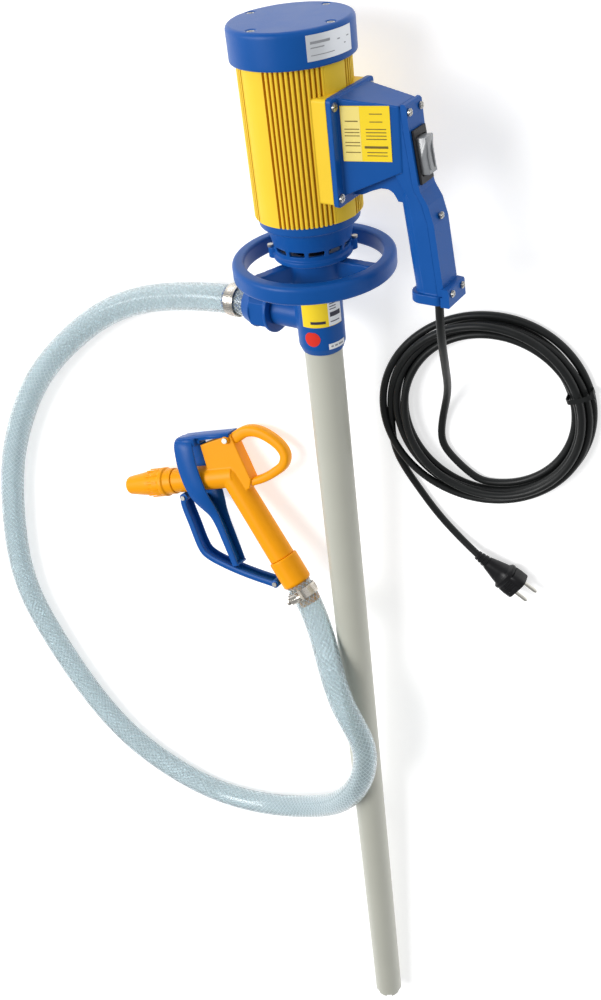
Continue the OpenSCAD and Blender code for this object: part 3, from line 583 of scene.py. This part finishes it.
# ---------------------------------------------------------------- nozzle: bosses at the lever's pivot
boss = lathe([(0.01, 9.5), (4.8, 9.5), (4.8, 13.2), (4.4, 13.6), (0.01, 13.6)], 28)
piece("pivot_boss", merge([moved(boss, shift(*PIVOT)), moved(boss, shift(*PIVOT) @ turn("X", 180))]),
      "orange_plastic", m=NOZZLE, outward=True)

# ---------------------------------------------------------------- CAD nodes: rounded edges
# node: voxel size in mm, smoothing passes
MOULDED = {
    "handle_body": (0.7, 4), "nozzle_body": (0.8, 6), "pump_head": (0.9, 5), "end_bell": (0.55, 2),
    "handwheel": (1.0, 5), "spout_tip": (0.7, 4), "nozzle_connector": (0.7, 4), "union_nut": (0.7, 4),
    "switch_bezel": (0.5, 3), "motor_cap": (1.0, 4)}
for name, (voxel, passes) in MOULDED.items():
    remesh = NODES[name].modifiers.new("Remesh", "REMESH")
    remesh.mode = "VOXEL"
    remesh.voxel_size = voxel * MM
    remesh.use_smooth_shade = True
    ease = NODES[name].modifiers.new("Smooth", "SMOOTH")
    ease.factor = 0.5
    ease.iterations = passes

bevel = NODES["grip_cover"].modifiers.new("Bevel", "BEVEL")
bevel.width = 0.6 * MM
bevel.segments = 2
bevel.limit_method = "ANGLE"
bevel.angle_limit = math.radians(35)


# ---------------------------------------------------------------- hose clamps
def clamp(name, m, angle, hides=()):
    """Slotted band with a screw housing at the angle."""
    band = lathe([(17.6, -6), (17.9, -6.3), (18.2, -6), (18.2, 6), (17.9, 6.3), (17.6, 6), (17.4, 5),
                  (17.4, -5)], 72)
    tooth = block(18.05, 18.42, -0.55, 0.55, -3.4, 3.4, 0.12)
    teeth, housing = 44, 27
    parts = [band]
    for k in range(teeth):
        a = math.degrees(math.tau * k / teeth)
        if min((a - angle) % 360, (angle - a) % 360) >= housing:
            parts.append(moved(tooth, turn("Z", a) @ turn("X", 18)))
    screw = shift(22.4, 0, 0) @ turn("X", -90)
    head = lathe([(0.01, 6.4), (2.6, 6.4), (2.6, 7.4), (4.2, 7.6), (4.4, 8.2), (4.4, 11.2), (3.9, 11.9),
                  (0.01, 11.9)], 6)
    shank = lathe([(0.01, -10.5), (2.9, -10.5), (3.1, -10), (3.1, 7), (0.01, 7)], 24)
    house = [block(18.2, 19.4, -10, 10, -6.6, 6.6, 0.4), block(19.2, 25.4, -6.6, 6.6, -5.6, 5.6, 1.5),
             block(19.0, 21.2, -9.6, -6.4, -6.0, 6.0, 0.5), moved(head, screw), moved(shank, screw)]
    parts += [moved(h, turn("Z", angle)) for h in house]
    piece(name, merge(parts), "stainless", m=m, smooth=30, hides=hides)


clamp("clamp_outlet", OUTLET @ shift(0, 0, 108), 250, hides=["hose_clamps"])
clamp("clamp_nozzle", HANDLE @ shift(0, 0, 172), 185)


# ---------------------------------------------------------------- labels and blank marks on them
def wrap(name, bars, radius, slot, look=None, lift=0.12, hides=()):
    """Thin bars bent round the pump: (angle from, to, z from, to)."""
    parts = []
    for a0, a1, z0, z1 in bars:
        steps = max(2, int((a1 - a0) / 2) + 1)
        rings = []
        for i in range(steps + 1):
            w = math.radians(a0 + (a1 - a0) * i / steps)
            rings.append([(r * math.cos(w), r * math.sin(w), z) for r, z in (
                (radius, z1), (radius + lift, z1), (radius + lift, z0), (radius, z0))])
        parts.append(sections(rings))
    piece(name, merge(parts), slot, look=look, m=PUMP, smooth=30, hides=hides)


PLATE_R, HEAD_R = 59.97, 25.02
BAR_R = HEAD_R + 0.48
wrap("plate_bars", [(217.5, 236, 214.2, 216.4), (217.5, 230, 210.6, 211.5), (217.5, 240, 204.4, 205.1),
                    (244, 247, 213, 214), (252, 254, 208, 209), (256, 259, 213, 214)],
     PLATE_R, "plate_silver", look="print_grey")
wrap("head_label", [(156, 261, -72.5, -34)], HEAD_R, "label_yellow", lift=0.36, hides=["head_labels"])
wrap("head_white", [(222, 260.5, -72, -34.5)], HEAD_R + 0.4, "label_yellow", look="print_white", lift=0.1)
wrap("head_bars", [(226, 244, z, z + 0.9) for z in (-42, -45, -48, -51, -54)]
     + [(226, 256, -62, -57), (226, 252, -68, -67), (178, 214, -68.5, -65.5)],
     BAR_R, "label_yellow", look="print_dark")
wrap("serial_white", [(216.5, 265.5, -98.9, -92.6)], HEAD_R, "label_yellow", look="print_white", lift=0.42)
wrap("serial_bars", [(a0, a1, -96.6, -94.8) for a0, a1 in ((222, 228), (232, 240), (243, 258))],
     BAR_R, "label_yellow", look="print_grey")

# painted shade in the grooves between the motor's ribs, given to their faces as a darker orange material: radii
# and heights that these faces lie between
GROOVE_SHADE_R, GROOVE_SHADE_Z = (50.5, 53.0), (47, 193)
motor = NODES["motor_housing"]
motor.data.materials.append(M["groove_shade"])
to_pump = PUMP.inverted() @ motor.matrix_world
for face in motor.data.polygons:
    q = to_pump @ face.center
    if GROOVE_SHADE_R[0] < math.hypot(q.x, q.y) < GROOVE_SHADE_R[1] and GROOVE_SHADE_Z[0] < q.z < GROOVE_SHADE_Z[1]:
        face.material_index = 1


def mark(x0, x1, z0, z1, pale=False):
    """Flat mark on the side label, on its plain half or on its paler one."""
    return block(x0, x1, -0.86 if pale else -0.74, -0.74 if pale else -0.6, z0, z1, 0.02)


# side label: paler half, then lines and one heavy bar
LABEL = HAND @ shift(63.2, -27.74, 110) @ turn("Z", 13.1)
piece("side_pale", block(0.6, 18, -0.72, -0.6, 0.6, 49.4, 0.02), "label_yellow", look="print_pale", m=LABEL)
marks = [mark(4, 16, 36, 37, pale=True), mark(27, 39, 42.5, 43.3), mark(27, 39, 35.5, 36.3)]
marks += [mark(3, 17, z, z + 0.8, pale=True) for z in (29, 26, 23, 17, 14, 8)]
marks += [mark(23, 42, z, z + 0.8) for z in (29, 26, 23, 20, 8, 5)]
marks.append(mark(21, 43, 12, 14.2))
piece("side_bars", merge(marks), "label_yellow", look="print_brown", m=LABEL)

# ---------------------------------------------------------------- ground
HALF, GROUND_Z = 30, -0.0004
ground_mesh = bpy.data.meshes.new("ground")
ground_mesh.from_pydata([(x * HALF, y * HALF, GROUND_Z) for x, y in ((-1, -1), (1, -1), (1, 1), (-1, 1))], [],
                        [[0, 1, 2, 3]])
ground = bpy.data.objects.new("ground", ground_mesh)
scene.collection.objects.link(ground)
ground_look = bpy.data.materials.new("ground")
ground_look.use_nodes = True
for key, value in (("Base Color", (0.66, 0.66, 0.66, 1)), ("Emission Color", (1, 1, 1, 1)),
                   ("Emission Strength", 0.6), ("Roughness", 0.9), ("Specular IOR Level", 0.1)):
    ground_look.node_tree.nodes["Principled BSDF"].inputs[key].default_value = value
ground_mesh.materials.append(ground_look)

# ---------------------------------------------------------------- sky: white at the horizon, greyer above
world = bpy.data.worlds.new("world")
scene.world = world
world.use_nodes = True
sky_nodes, sky_link = world.node_tree.nodes, world.node_tree.links.new
backdrop = sky_nodes["Background"].inputs
backdrop["Color"].default_value = (0.97, 0.985, 1.0, 1)
height = sky_nodes.new("ShaderNodeSeparateXYZ")
sky_link(sky_nodes.new("ShaderNodeTexCoord").outputs["Generated"], height.inputs[0])
fade = sky_nodes.new("ShaderNodeMapRange")
fade.interpolation_type = "SMOOTHSTEP"
for key, value in (("From Min", 0.0), ("From Max", 0.42), ("To Min", 1.0), ("To Max", 0.34)):
    fade.inputs[key].default_value = value
sky_link(height.outputs["Z"], fade.inputs["Value"])
sky_link(fade.outputs[0], backdrop["Strength"])
scene.view_settings.view_transform = "Standard"


# ---------------------------------------------------------------- lights
def facing(away):
    """Turn that points a light's beam against the vector away."""
    return Vector(away).to_track_quat("Z", "Y").to_matrix().to_4x4()


def area(name, where, aim, size, watts):
    light = bpy.data.lights.new(name, "AREA")
    light.shape = "RECTANGLE"
    light.size, light.size_y = size
    light.energy = watts
    ob = bpy.data.objects.new(name, light)
    scene.collection.objects.link(ob)
    ob.matrix_world = Matrix.Translation(where) @ facing(Vector(where) - Vector(aim))


sun = bpy.data.lights.new("key", "SUN")
sun.energy = 1.45
sun.angle = math.radians(30)
key_light = bpy.data.objects.new("key", sun)
key_light.matrix_world = facing((0.35, 0.75, 1.25))
scene.collection.objects.link(key_light)
area("strip", (0.9, 1.6, 1.9), (0.4, 0, 0.1), (0.7, 2.4), 30)
area("fill", (1.6, -1.8, 1.6), (0.4, 0, 0.05), (2.0, 2.0), 5)
